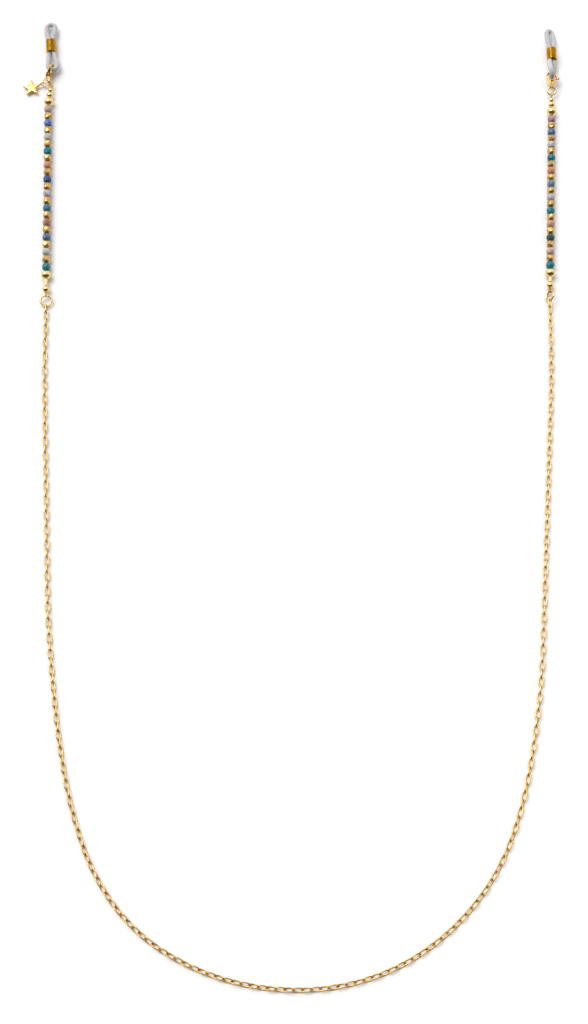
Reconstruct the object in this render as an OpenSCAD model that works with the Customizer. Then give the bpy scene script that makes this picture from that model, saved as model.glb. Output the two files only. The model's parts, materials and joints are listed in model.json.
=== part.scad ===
// Eyeglasses chain strap: two beaded ends, each with a lobster clasp and a soft
// temple loop, joined by a long cable chain. It lies flat, with +Y towards the
// temple loops, +Z up, and the origin under the middle of its outline.

/* [Chain] */
// Wire diameter of a chain link
link_wire = 0.45; // [0.4:0.01:0.46]
// Width over a chain link
link_width = 1.9; // [1.86:0.01:2]
// Distance from one link to the next
link_pitch = 2.655; // [2.6:0.005:2.7]
// Free play where two links meet
link_play = 0.05; // [0.04:0.01:0.08]

/* [Rings] */
// Outer diameter of the ring between chain and beads
end_ring_od = 4.5; // [4.4:0.05:4.7]
// Wire diameter of the ring between chain and beads
end_ring_wire = 0.7; // [0.6:0.02:0.72]
// Outer diameter of the ring between beads and clasp
clasp_ring_od = 3.6; // [3.5:0.05:3.7]
// Wire diameter of the ring between beads and clasp
clasp_ring_wire = 0.6; // [0.5:0.02:0.62]
// Outer diameter of the ring that carries the star
star_ring_od = 3.4; // [3.3:0.05:3.5]
// Wire diameter of the ring that carries the star
star_ring_wire = 0.5; // [0.4:0.02:0.52]

/* [Beads] */
// Diameter of the beading wire
bead_wire_d = 0.38; // [0.3:0.02:0.4]
// Hole through each bead
bead_hole = 0.5; // [0.48:0.01:0.6]
// Diameter of a coloured bead
gem_d = 3.2; // [3:0.05:3.3]
// Diameter of a gold nugget bead
nugget_d = 3.1; // [2.9:0.05:3.2]
// Length of a coloured bead on the left
left_gem_len = 2.93; // [2.8:0.01:3]
// Length of a gold nugget bead on the left
left_nugget_len = 2.93; // [2.8:0.01:3]
// Length of a coloured bead on the right
right_gem_len = 2.8; // [2.7:0.01:2.9]
// Length of a gold nugget bead on the right
right_nugget_len = 2.62; // [2.5:0.01:2.8]
// Diameter of the large round beads
large_bead_d = 3.5; // [3.3:0.05:3.6]
// Diameter of the medium round beads
medium_bead_d = 2.4; // [2.2:0.05:2.5]
// Diameter of the small round beads
small_bead_d = 1.8; // [1.7:0.05:1.9]
// Diameter of the bead that covers the crimp
cover_bead_d = 2.5; // [2.3:0.05:2.5]
// Diameter of the crimp tube
crimp_d = 1.2; // [1:0.05:1.3]
// Length of the left crimp tube
left_crimp_len = 2.5; // [1.6:0.05:2.6]
// Length of the right crimp tube
right_crimp_len = 1.7; // [1.4:0.05:1.8]

/* [Temple loop] */
// Diameter of the soft cord
cord_d = 1.8; // [1.6:0.05:1.8]
// Width over an eye of the cord loop
eye_width = 5.4; // [5.2:0.05:5.5]
// Length of the left loop's wire coil
left_coil_len = 5.9; // [5.5:0.05:6.1]
// Length of the right loop's wire coil
right_coil_len = 5.3; // [5:0.05:6.1]
// Outer diameter of the wire coil
coil_od = 3.7; // [3.55:0.01:3.7]
// Wire diameter of the coil
coil_wire = 0.45; // [0.4:0.01:0.45]

/* [Clasp] */
// Outer radius of the claw
claw_r = 2.15; // [2.1:0.01:2.2]
// Radius of the claw's opening
claw_hole_r = 1.4; // [1.38:0.01:1.42]
// Thickness of the claw's hook
hook_t = 1.1; // [1:0.02:1.12]
// Thickness of the clasp's body
body_t = 2; // [1.9:0.02:2.1]
// Diameter of the rivet
rivet_d = 0.6; // [0.56:0.01:0.6]

/* [Star] */
// Outer radius of the star
star_r = 3.8; // [3.6:0.05:4]
// Radius at the star's inner corners
star_inner_r = 1.6; // [1.5:0.05:1.9]
// Thickness of the star
star_t = 1.1; // [1:0.05:1.2]

/* [Hidden] */

GOLD = [0.80, 0.62, 0.28];
GOLD_DEEP = [0.72, 0.53, 0.12];
SILICONE = [0.83, 0.83, 0.85];
TEAL = [0.10, 0.50, 0.58];
BLUE = [0.34, 0.46, 0.66];
CORAL = [0.82, 0.60, 0.44];
LILAC = [0.77, 0.75, 0.79];
BLUSH = [0.80, 0.70, 0.66];

LEFT = -1;
RIGHT = 1;
FN = 48;

// Chain: how many links a run has, and the links from the middle to each end
run_links = 16;
middle_reach = 6;
runs = 6;
side_links = middle_reach + runs * run_links;
knot_links = 8;
chain_start = [2.1, -174.1];
link_len = link_pitch + 2 * link_wire + link_play;
link_half_height = (link_width - link_wire) / 2;
link_reach = link_len / 2 - link_wire;

// Slope of the route above the X axis, every 8 links from the middle. Two links
// meet at plus and minus the spread about the chain, turned by the roll.
left_slopes = [0, 15, 31, 52, 69, 77, 81, 83, 86, 86, 86, 86, 88, 89];
right_slopes = [0, 17, 35, 51, 68, 77, 81, 85, 85, 85, 85, 85, 88, 89];
spreads = [38, 38, 38, 40, 42, 45, 45, 45, 45, 45, 45, 45, 45, 45];
left_rolls = [0, 0, 0, 0, 5, 10, 15, 25, 40, 45, 45, 45, 45, 45];
right_rolls = [0, 0, 0, 0, 10, 20, 30, 40, 45, 45, 45, 45, 40, -30];
rise_links = 10;
left_rise = 0;
right_rise = 1.1;

// Strand: height of its axis, its directions in the plan, and small gaps
strand_z = 1.85;
left_strand_angle = 92.6;
right_strand_angle = 86.2;
left_top_angle = 86.4;
right_top_angle = 87;
bead_gap = 0.05;
gap = 0.04;
wire_loop_r = 0.75;
gems = 12;
nuggets = gems - 1;

end_ring_r = (end_ring_od - end_ring_wire) / 2;
clasp_ring_r = (clasp_ring_od - clasp_ring_wire) / 2;
star_ring_r = (star_ring_od - star_ring_wire) / 2;

// Which bead of a strand has which colour, counted from the clasp
left_colours = ["blush", "blue", "lilac", "teal", "coral", "blue",
    "lilac", "blue", "coral", "blue", "blush", "teal"];
right_colours = ["blush", "blue", "lilac", "teal", "coral", "blue",
    "lilac", "teal", "coral", "teal", "blush", "teal"];

// Clasp: places along its own axis, from the middle of the claw's opening
tail_x = -4.1;
tail_r = 0.85;
tail_wire = 0.5;
tail_gap = 0.1;
pivot = [-1.6, -0.45];
lever_t = 0.8;
slot_t = 0.9;
claw_centre = 0.35;
gate_reach = 3.42;
gate_play = 0.08;
gate_top = 0.05;
hook_tip_y = -1.2;
lever_top = -0.8;
left_cord_seat = [0.3, 0.15, -0.85];
right_cord_seat = [0.5, 0.05, 0];
left_clasp_angle = 75;
right_clasp_angle = 86;
left_clasp_ring_angle = 120;
left_clasp_z = 2.3;
right_clasp_z = 2.75;

// Temple loop: places along its own axis, from the cord's middle in the clasp
eye_r = (eye_width - cord_d) / 2;
neck_r = 0.59;
neck_y = 0.62;
neck_start = 6.6;
neck_end = 15.1;
left_coil_x = 10.6;
right_coil_x = 9.9;
loop_len = 20.6;
eye_tangent = 76;
loop_sides = 10;
left_loop_angle = 95.5;
right_loop_angle = 89.3;
left_loop_pitch = -1.2;
right_loop_pitch = -2;
left_bow = 0.5;
right_bow = -0.4;
// Roll of a loop about its axis at seven places, from the clasp to the far end
left_loop_rolls = [0, 0, 0, 0, 0, 0, 0];
right_loop_rolls = [85, 74, 40, 30, 30, 36, 42];

star_points = 5;
star_angle = 204;
star_pitch = 4;
star_eye_r = 0.66;
star_eye_wire = 0.36;
star_eye_gap = 0.1;
star_ring_angle = 235;
star_ring_drop = 0.5;

// A value from a list of knots, one every knot_links links
function along(knots, i) = let (k = min(floor(i / knot_links), len(knots) - 2),
    t = i / knot_links - k) knots[k] * (1 - t) + knots[k + 1] * t;
function rolls(side) = side == LEFT ? left_rolls : right_rolls;
function rise(side) = side == LEFT ? left_rise : right_rise;
function flat_dir(angle) = [cos(angle), sin(angle)];
// The direction in the plan of link i, as an angle from +X
function link_angle(side, i) = side == LEFT ? 180 - along(left_slopes, i)
    : along(right_slopes, i);
function walk(side) = [for (i = 0, p = chain_start; i <= side_links;
    p = p + link_pitch * flat_dir(link_angle(side, i + 0.5)), i = i + 1) p];
left_walk = walk(LEFT);
right_walk = walk(RIGHT);
function link_xy(side, i) = side == LEFT ? left_walk[i] : right_walk[i];
function spread(i) = along(spreads, i);
function link_roll(side, i) = side * (along(rolls(side), i) + (i % 2 == 0 ? 1 : -1) * spread(i));
function half_height(roll) = link_half_height * abs(sin(roll)) + link_wire / 2;
function rise_part(i) = max(0, (i - side_links + rise_links) / rise_links);
function link_z(side, i) = max(half_height(along(rolls(side), i) + spread(i)),
    half_height(along(rolls(side), i) - spread(i))) + rise(side) * rise_part(i) ^ 2;
function link_point(side, i) = [link_xy(side, i).x, link_xy(side, i).y, link_z(side, i)];

// Directions and points in space
function dir3(angle, pitch) = [cos(angle) * cos(pitch), sin(angle) * cos(pitch), sin(pitch)];
function strand_angle(side) = side == LEFT ? left_strand_angle : right_strand_angle;
function top_angle(side) = side == LEFT ? left_top_angle : right_top_angle;
function end_link_pitch(side) = atan((link_z(side, side_links)
    - link_z(side, side_links - 1)) / link_pitch);
// Where the end ring's wire goes through the last link
function ring_in_link(side) = link_point(side, side_links)
    + (link_reach - end_ring_wire / 2 - gap)
    * dir3(link_angle(side, side_links), end_link_pitch(side));
function end_ring_pitch(side) = asin((strand_z - ring_in_link(side).z) / (2 * end_ring_r));
function end_ring_centre(side) = ring_in_link(side)
    + end_ring_r * dir3(strand_angle(side), end_ring_pitch(side));
// Where the end ring's wire goes through the strand's lower loop
function strand_start(side) = ring_in_link(side)
    + 2 * end_ring_r * dir3(strand_angle(side), end_ring_pitch(side));

// Lengths along a strand
loop_inner = wire_loop_r - bead_wire_d / 2;
low_loop_x = loop_inner - end_ring_wire / 2 - gap;
loop_reach = wire_loop_r + bead_wire_d / 2 + bead_gap;
cover_x = low_loop_x + loop_reach + cover_bead_d / 2;
function gem_len(side) = side == LEFT ? left_gem_len : right_gem_len;
function nugget_len(side) = side == LEFT ? left_nugget_len : right_nugget_len;
function crimp_len(side) = side == LEFT ? left_crimp_len : right_crimp_len;
function crimp_x(side) = cover_x + cover_bead_d / 2 + bead_gap + crimp_len(side) / 2;
function low_large_x(side) = crimp_x(side) + crimp_len(side) / 2 + bead_gap + large_bead_d / 2;
function pair_len(side) = gem_len(side) + nugget_len(side) + 2 * bead_gap;
// Coloured bead k and nugget k, counted from the clasp
function gem_x(side, k) = low_large_x(side) + large_bead_d / 2 + bead_gap + gem_len(side) / 2
    + (gems - 1 - k) * pair_len(side);
function nugget_x(side, k) = gem_x(side, k) - pair_len(side) / 2;
function bend_x(side) = gem_x(side, 0) + (gem_len(side) + bead_gap) / 2;
// Lengths beyond the bend below the top beads
top_large_x = bead_gap + large_bead_d / 2;
medium_x = top_large_x + large_bead_d / 2 + bead_gap + medium_bead_d / 2;
small_x = medium_x + medium_bead_d / 2 + bead_gap + small_bead_d / 2;
top_loop_x = small_x + small_bead_d / 2 + loop_reach;
top_end_x = top_loop_x + loop_inner - clasp_ring_wire / 2 - gap;
function bend_point(side) = strand_start(side) + bend_x(side) * dir3(strand_angle(side), 0);
// Where the clasp ring's wire goes through the strand's upper loop
function strand_end(side) = bend_point(side) + top_end_x * dir3(top_angle(side), 0);

// Clasp ring: flat on the right, standing on the left
function clasp_ring_angle(side) = side == LEFT ? left_clasp_ring_angle : right_top_angle;
function clasp_ring_pitch(side) = side == LEFT ? 0
    : asin((right_clasp_z - strand_z) / (2 * clasp_ring_r));
function clasp_ring_centre(side) = strand_end(side)
    + clasp_ring_r * dir3(clasp_ring_angle(side), clasp_ring_pitch(side));
function clasp_angle(side) = side == LEFT ? left_clasp_angle : right_clasp_angle;
function clasp_ring_lift(side) = side == LEFT ? asin((left_clasp_z - strand_z) / clasp_ring_r) : 0;
// Where the clasp ring's wire goes through the clasp's tail
function ring_in_clasp(side) = side == LEFT
    ? clasp_ring_centre(side) + clasp_ring_r * dir3(left_clasp_ring_angle, clasp_ring_lift(side))
    : strand_end(side) + 2 * clasp_ring_r * dir3(right_top_angle, clasp_ring_pitch(side));
tail_play = tail_r - tail_wire / 2 - clasp_ring_wire / 2 - tail_gap;
function clasp_origin(side) = ring_in_clasp(side)
    + (tail_play - tail_x) * dir3(clasp_angle(side), 0);
function clasp_roll(side) = side == LEFT ? -90 : 0;
function clasp_side(side) = dir3(clasp_angle(side) + 90, 0);
function clasp_point(side, p) = clasp_origin(side) + p.x * dir3(clasp_angle(side), 0)
    + (side == LEFT ? p.z * clasp_side(side) - [0, 0, p.y]
    : p.y * clasp_side(side) + [0, 0, p.z]);
function loop_origin(side) = clasp_point(side, side == LEFT ? left_cord_seat : right_cord_seat);

// Star ring and star hang on the left clasp ring
star_hook = clasp_ring_centre(LEFT) + clasp_ring_r
    * dir3(left_clasp_ring_angle, -asin(star_ring_drop / clasp_ring_r));
star_ring_centre = star_hook + (star_ring_r - star_ring_wire / 2 - clasp_ring_wire / 2 - gap)
    * dir3(star_ring_angle, 0);
star_in_ring = star_ring_centre + star_ring_r * dir3(star_angle, 0);
star_eye_x = star_eye_r - star_eye_wire / 2 - star_ring_wire / 2 - star_eye_gap;
star_centre_x = star_eye_x + star_eye_r + star_r * 0.93;

// Basic shapes, each along +X
module ring(mean_r, wire) {
    rotate_extrude($fn = FN)
        translate([mean_r, 0])
            circle(d = wire, $fn = FN);
}

module rod(x0, x1, d) {
    translate([x0, 0, 0])
        rotate([0, 90, 0])
            cylinder(h = x1 - x0, d = d, $fn = FN);
}

module link_end(turn) {
    rotate([0, 0, turn])
        rotate_extrude(angle = 180, $fn = FN)
            translate([link_half_height, 0])
                circle(d = link_wire, $fn = FN);
}

module link() {
    bar = link_len - link_width;
    for (s = [-1, 1]) {
        translate([s * bar / 2, 0, 0])
            link_end(-90 * s);
        translate([0, s * link_half_height, 0])
            rod(-bar / 2, bar / 2, link_wire);
    }
}

module placed_link(side, i) {
    slope = i == 0 ? 0 : atan((link_z(side, i) - link_z(side, i - 1)) / link_pitch);
    translate(link_point(side, i))
        rotate([0, -slope, link_angle(side, i)])
            rotate([link_roll(side, i), 0, 0])
                link();
}

module chain_run(side, run) {
    first = middle_reach + 1 + (run - 1) * run_links;
    color(GOLD)
        for (i = [first : first + run_links - 1])
            placed_link(side, i);
}

module chain_middle() {
    color(GOLD) {
        placed_link(RIGHT, 0);
        for (i = [1 : middle_reach]) {
            placed_link(RIGHT, i);
            placed_link(LEFT, i);
        }
    }
}

// Rings
function last_roll(side) = link_roll(side, side_links);

module end_ring(side) {
    color(GOLD)
        translate(end_ring_centre(side))
            rotate([0, -end_ring_pitch(side), strand_angle(side)])
                rotate([last_roll(side) + 90, 0, 0])
                    ring(end_ring_r, end_ring_wire);
}

module clasp_ring(side) {
    color(GOLD)
        translate(clasp_ring_centre(side))
            rotate([0, -clasp_ring_pitch(side), clasp_ring_angle(side)])
                rotate([side == LEFT ? 90 : 0, 0, 0])
                    ring(clasp_ring_r, clasp_ring_wire);
}

module star_ring() {
    color(GOLD)
        translate(star_ring_centre)
            ring(star_ring_r, star_ring_wire);
}

// Strand
module on_strand(side) {
    translate(strand_start(side))
        rotate([0, 0, strand_angle(side)])
            children();
}

module on_top(side) {
    translate(bend_point(side))
        rotate([0, 0, top_angle(side)])
            children();
}

module bead_wire(side) {
    color(GOLD) {
        on_strand(side) {
            translate([low_loop_x, 0, 0])
                rotate([last_roll(side), 0, 0])
                    ring(wire_loop_r, bead_wire_d);
            rod(low_loop_x + wire_loop_r, bend_x(side), bead_wire_d);
        }
        on_top(side) {
            sphere(d = bead_wire_d * 1.15, $fn = FN);
            rod(0, top_loop_x - wire_loop_r, bead_wire_d);
            translate([top_loop_x, 0, 0])
                rotate([side == LEFT ? 0 : 90, 0, 0])
                    ring(wire_loop_r, bead_wire_d);
        }
    }
}

module round_bead(x, d) {
    translate([x, 0, 0])
        rotate([0, 90, 0])
            rotate_extrude($fn = FN)
                intersection() {
                    circle(d = d, $fn = FN);
                    translate([bead_hole / 2, -d])
                        square([d, 2 * d]);
                }
}

// A bead cut with a waist band and two sloping crowns, as a turned shape
module cut_bead(x, len, d, band, face) {
    half = len / 2;
    translate([x, 0, 0])
        rotate([0, 90, 0])
            rotate_extrude($fn = FN)
                polygon([[bead_hole / 2, -half], [d * face / 2, -half], [d / 2, -half * band],
                    [d / 2, half * band], [d * face / 2, half], [bead_hole / 2, half]]);
}

module crimp_cover(side) {
    color(GOLD)
        on_strand(side)
            round_bead(cover_x, cover_bead_d);
}

module crimp_tube(side) {
    color(GOLD)
        on_strand(side)
            difference() {
                rod(crimp_x(side) - crimp_len(side) / 2, crimp_x(side) + crimp_len(side) / 2, crimp_d);
                rod(crimp_x(side) - crimp_len(side), crimp_x(side) + crimp_len(side), bead_hole);
            }
}

module large_beads(side) {
    color(GOLD) {
        on_strand(side)
            round_bead(low_large_x(side), large_bead_d);
        on_top(side)
            round_bead(top_large_x, large_bead_d);
    }
}

module medium_bead(side) {
    color(GOLD)
        on_top(side)
            round_bead(medium_x, medium_bead_d);
}

module small_bead(side) {
    color(GOLD)
        on_top(side)
            round_bead(small_x, small_bead_d);
}

module gold_nuggets(side) {
    color(GOLD)
        on_strand(side)
            for (k = [0 : nuggets - 1])
                cut_bead(nugget_x(side, k), nugget_len(side), nugget_d, 0.35, 0.6);
}

module gem_beads(side, name, tint) {
    colours = side == LEFT ? left_colours : right_colours;
    color(tint)
        on_strand(side)
            for (k = [0 : gems - 1])
                if (colours[k] == name)
                    cut_bead(gem_x(side, k), gem_len(side), gem_d, 0.25, 0.5);
}

// Clasp, drawn with the hook towards +X and the thumb tab on the -Y side
module at_clasp(side) {
    translate(clasp_origin(side))
        rotate([0, 0, clasp_angle(side)])
            rotate([clasp_roll(side), 0, 0])
                children();
}

module slab(t) {
    translate([0, 0, -t / 2])
        linear_extrude(t)
            children();
}

// Everything below a height, as an outline
module below(y) {
    translate([-claw_r * 2, y - claw_r * 2])
        square([claw_r * 4, claw_r * 2]);
}

// The claw is a ring, cut so that the lever's tip can swing in behind the hook's tip
module claw_outline() {
    difference() {
        translate([claw_centre, 0])
            circle(claw_r, $fn = FN);
        translate([claw_centre, 0])
            circle(claw_hole_r, $fn = FN);
        intersection() {
            translate(pivot)
                circle(gate_reach + gate_play, $fn = 96);
            below(gate_top);
        }
        below(hook_tip_y);
    }
}

module shank_outline() {
    difference() {
        polygon([[-0.95, 1.75], [-0.95, -1.15], [-1.9, -1.25], [-3.45, -0.5], [-3.45, 0.5], [-2.2, 1.4]]);
        translate([claw_centre, 0])
            circle(claw_hole_r, $fn = FN);
    }
}

module clasp_body(side) {
    color(GOLD)
        at_clasp(side) {
            difference() {
                union() {
                    slab(hook_t)
                        claw_outline();
                    slab(body_t)
                        shank_outline();
                }
                translate([-2.35, -1.3, -slot_t / 2])
                    cube([3, 2.05, slot_t]);
                translate([pivot.x, pivot.y, -body_t])
                    cylinder(h = 2 * body_t, d = rivet_d + 0.02, $fn = FN);
            }
            translate([tail_x, 0, 0])
                rotate([90, 0, 0])
                    ring(tail_r, tail_wire);
        }
}

module clasp_rivet(side) {
    color(GOLD_DEEP)
        at_clasp(side)
            translate([pivot.x, pivot.y, -body_t / 2 - 0.08])
                cylinder(h = body_t + 0.16, d = rivet_d, $fn = FN);
}

module lever_outline() {
    intersection() {
        difference() {
            translate([claw_centre, 0])
                circle(claw_r - 0.02, $fn = FN);
            translate([claw_centre, 0])
                circle(claw_hole_r + 0.04, $fn = FN);
        }
        translate(pivot)
            circle(gate_reach, $fn = 96);
        below(lever_top);
    }
    translate(pivot)
        circle(0.62, $fn = FN);
    translate([-0.35, -2.25])
        circle(0.5, $fn = FN);
}

module clasp_lever(side) {
    color(GOLD)
        at_clasp(side)
            difference() {
                slab(lever_t)
                    lever_outline();
                translate([pivot.x, pivot.y, -lever_t])
                    cylinder(h = 2 * lever_t, d = rivet_d + 0.08, $fn = FN);
            }
}

// A leaf spring in the slot, between the shank and the lever
module clasp_spring(side) {
    color(GOLD_DEEP)
        at_clasp(side)
            translate([-1.3, 0.5, 0])
                slab(slot_t - 0.2)
                    difference() {
                        circle(0.2, $fn = FN);
                        circle(0.1, $fn = FN);
                    }
}

// Temple loop: half of the cord's middle line, from the clasp to the far end
function eye_arc(centre, from, to, n) = [for (i = [0 : n])
    let (a = from + (to - from) * i / n) [centre + eye_r * cos(a), eye_r * sin(a)]];
half_loop = concat(
    eye_arc(eye_r, 180, eye_tangent, 6),
    [for (i = [1 : 3]) let (t = i / 4, p = [eye_r * (1 + cos(eye_tangent)), eye_r * sin(eye_tangent)])
        p * (1 - t) + [neck_start, neck_y] * t],
    [for (i = [0 : 5]) [neck_start + (neck_end - neck_start) * i / 5, neck_y]],
    eye_arc(loop_len - eye_r, 180 - eye_tangent, 0, 6));
// The loop bows sideways between its ends, and rolls about its axis
function bow(side) = side == LEFT ? left_bow : right_bow;
function bow_at(side, x) = bow(side) * (1 - abs(2 * x / loop_len - 1) ^ 3);
function loop_roll(side, x) = let (rolls = side == LEFT ? left_loop_rolls : right_loop_rolls,
    u = min(max(x / loop_len, 0), 0.999) * (len(rolls) - 1), k = floor(u))
    rolls[k] * (1 - u + k) + rolls[k + 1] * (u - k);
// The cord is squeezed where it goes through the coil
function cord_r(x) = x < neck_start - 2 || x > neck_end + 2 ? cord_d / 2
    : x < neck_start ? neck_r + (cord_d / 2 - neck_r) * (neck_start - x) / 2
    : x > neck_end ? neck_r + (cord_d / 2 - neck_r) * (x - neck_end) / 2 : neck_r;
middle_count = len(half_loop);
cord_line = concat(half_loop,
    [for (i = [middle_count - 2 : -1 : 1]) [half_loop[i].x, -half_loop[i].y]]);

module silicone_loop(side) {
    n = len(cord_line);
    points = [for (i = [0 : n - 1]) let (p = cord_line[i],
        t = cord_line[(i + 1) % n] - cord_line[(i + n - 1) % n],
        u = [-t.y, t.x] / norm(t), r = cord_r(p.x), a = loop_roll(side, p.x), w = bow_at(side, p.x))
        for (j = [0 : loop_sides - 1])
            let (b = 360 * j / loop_sides, q = p + u * r * cos(b), h = r * sin(b))
                [q.x, w + q.y * cos(a) - h * sin(a), q.y * sin(a) + h * cos(a)]];
    faces = [for (i = [0 : n - 1], j = [0 : loop_sides - 1])
        let (k = (i + 1) % n, m = (j + 1) % loop_sides)
            [i * loop_sides + j, k * loop_sides + j, k * loop_sides + m, i * loop_sides + m]];
    color(SILICONE)
        at_loop(side)
            polyhedron(points = points, faces = faces);
}

module at_loop(side) {
    translate(loop_origin(side))
        rotate([0, side == LEFT ? -left_loop_pitch : -right_loop_pitch,
                side == LEFT ? left_loop_angle : right_loop_angle])
            children();
}

module coil(side) {
    coil_len = side == LEFT ? left_coil_len : right_coil_len;
    coil_x = side == LEFT ? left_coil_x : right_coil_x;
    turns = floor(coil_len / coil_wire / 1.1);
    step = (coil_len - coil_wire) / (turns - 1);
    color(GOLD_DEEP)
        at_loop(side)
            translate([coil_x - coil_len / 2, bow(side), 0])
                rotate([0, 90, 0])
                    rotate_extrude($fn = FN)
                        translate([(coil_od - coil_wire) / 2, 0]) {
                            translate([-coil_wire / 4, coil_wire / 2])
                                square([coil_wire / 2, coil_len - coil_wire]);
                            for (i = [0 : turns - 1])
                                translate([0, coil_wire / 2 + i * step])
                                    circle(d = coil_wire, $fn = 24);
                        }
}

// Star charm: a flat star with an eye on one point
module star_outline() {
    polygon([for (i = [0 : 2 * star_points - 1])
        (i % 2 == 0 ? star_r : star_inner_r) * flat_dir(180 + i * 180 / star_points)]);
}

module star_charm() {
    color(GOLD)
        translate(star_in_ring)
            rotate([0, star_pitch, star_angle]) {
                translate([star_centre_x, 0, 0])
                    slab(star_t)
                        star_outline();
                translate([star_eye_x, 0, 0])
                    rotate([90, 0, 0])
                        ring(star_eye_r, star_eye_wire);
            }
}

chain_middle();
chain_run(LEFT, 1);  // chain_left_1
chain_run(LEFT, 2);  // chain_left_2
chain_run(LEFT, 3);  // chain_left_3
chain_run(LEFT, 4);  // chain_left_4
chain_run(LEFT, 5);  // chain_left_5
chain_run(LEFT, 6);  // chain_left_6
chain_run(RIGHT, 1);  // chain_right_1
chain_run(RIGHT, 2);  // chain_right_2
chain_run(RIGHT, 3);  // chain_right_3
chain_run(RIGHT, 4);  // chain_right_4
chain_run(RIGHT, 5);  // chain_right_5
chain_run(RIGHT, 6);  // chain_right_6
end_ring(LEFT);  // left_end_ring
bead_wire(LEFT);  // left_bead_wire
crimp_cover(LEFT);  // left_crimp_cover
crimp_tube(LEFT);  // left_crimp_tube
large_beads(LEFT);  // left_large_beads
medium_bead(LEFT);  // left_medium_bead
small_bead(LEFT);  // left_small_bead
gold_nuggets(LEFT);  // left_gold_nuggets
gem_beads(LEFT, "teal", TEAL);  // left_teal_beads
gem_beads(LEFT, "blue", BLUE);  // left_blue_beads
gem_beads(LEFT, "coral", CORAL);  // left_coral_beads
gem_beads(LEFT, "lilac", LILAC);  // left_lilac_beads
gem_beads(LEFT, "blush", BLUSH);  // left_blush_beads
clasp_ring(LEFT);  // left_clasp_ring
clasp_body(LEFT);  // left_clasp_body
clasp_rivet(LEFT);  // left_clasp_rivet
clasp_spring(LEFT);  // left_clasp_spring
clasp_lever(LEFT);  // left_clasp_lever
silicone_loop(LEFT);  // left_silicone_loop
coil(LEFT);  // left_coil
star_ring();
star_charm();
end_ring(RIGHT);  // right_end_ring
bead_wire(RIGHT);  // right_bead_wire
crimp_cover(RIGHT);  // right_crimp_cover
crimp_tube(RIGHT);  // right_crimp_tube
large_beads(RIGHT);  // right_large_beads
medium_bead(RIGHT);  // right_medium_bead
small_bead(RIGHT);  // right_small_bead
gold_nuggets(RIGHT);  // right_gold_nuggets
gem_beads(RIGHT, "teal", TEAL);  // right_teal_beads
gem_beads(RIGHT, "blue", BLUE);  // right_blue_beads
gem_beads(RIGHT, "coral", CORAL);  // right_coral_beads
gem_beads(RIGHT, "lilac", LILAC);  // right_lilac_beads
gem_beads(RIGHT, "blush", BLUSH);  // right_blush_beads
clasp_ring(RIGHT);  // right_clasp_ring
clasp_body(RIGHT);  // right_clasp_body
clasp_rivet(RIGHT);  // right_clasp_rivet
clasp_spring(RIGHT);  // right_clasp_spring
clasp_lever(RIGHT);  // right_clasp_lever
silicone_loop(RIGHT);  // right_silicone_loop
coil(RIGHT);  // right_coil
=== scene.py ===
"""Dresses the eyeglasses chain: gold links and rings, cut stones, clasps and milky temple loops."""

import json
import math
import random

import bpy
import numpy as np
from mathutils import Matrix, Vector


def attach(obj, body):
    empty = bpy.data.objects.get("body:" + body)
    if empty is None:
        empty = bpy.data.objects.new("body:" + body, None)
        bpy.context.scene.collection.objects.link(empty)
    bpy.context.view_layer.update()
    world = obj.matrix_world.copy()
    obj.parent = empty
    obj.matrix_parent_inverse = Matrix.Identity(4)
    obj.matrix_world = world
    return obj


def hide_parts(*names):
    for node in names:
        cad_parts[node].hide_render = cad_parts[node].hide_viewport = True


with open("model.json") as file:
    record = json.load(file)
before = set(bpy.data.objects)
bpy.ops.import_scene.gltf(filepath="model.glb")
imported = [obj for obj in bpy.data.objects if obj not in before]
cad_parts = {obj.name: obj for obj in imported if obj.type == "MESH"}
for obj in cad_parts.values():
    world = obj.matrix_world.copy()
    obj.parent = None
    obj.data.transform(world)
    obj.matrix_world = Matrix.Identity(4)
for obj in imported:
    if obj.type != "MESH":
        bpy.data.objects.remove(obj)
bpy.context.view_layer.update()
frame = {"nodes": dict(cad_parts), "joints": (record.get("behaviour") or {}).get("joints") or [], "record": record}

bl_info = {
    "name": "Eyeglasses Chain",
    "version": (1, 0, 0),
    "blender": (4, 5, 0),
    "location": "View3D > Sidebar > Eyeglasses Chain",
    "description": "Gives a beaded eyeglasses chain its gold, stones and milky loops",
    "category": "Add Mesh",
}

MM = 0.001
SIDES = ("left", "right")
RUNS = 6
JOINTS = {joint["name"]: joint for joint in frame["joints"]}
MOUNTS = {mount["name"]: mount for mount in frame["record"]["mounts"]}

# The stones of each end, counted from the clasp
STONES = {
    "left": ("blush", "cornflower", "mist", "teal", "coral", "navy",
             "lilac", "steel", "rose", "denim", "mist", "lagoon"),
    "right": ("pink", "denim", "lilac", "teal", "coral", "slate",
              "lilac", "lagoon", "peach", "forest", "petal", "teal"),
}
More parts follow.
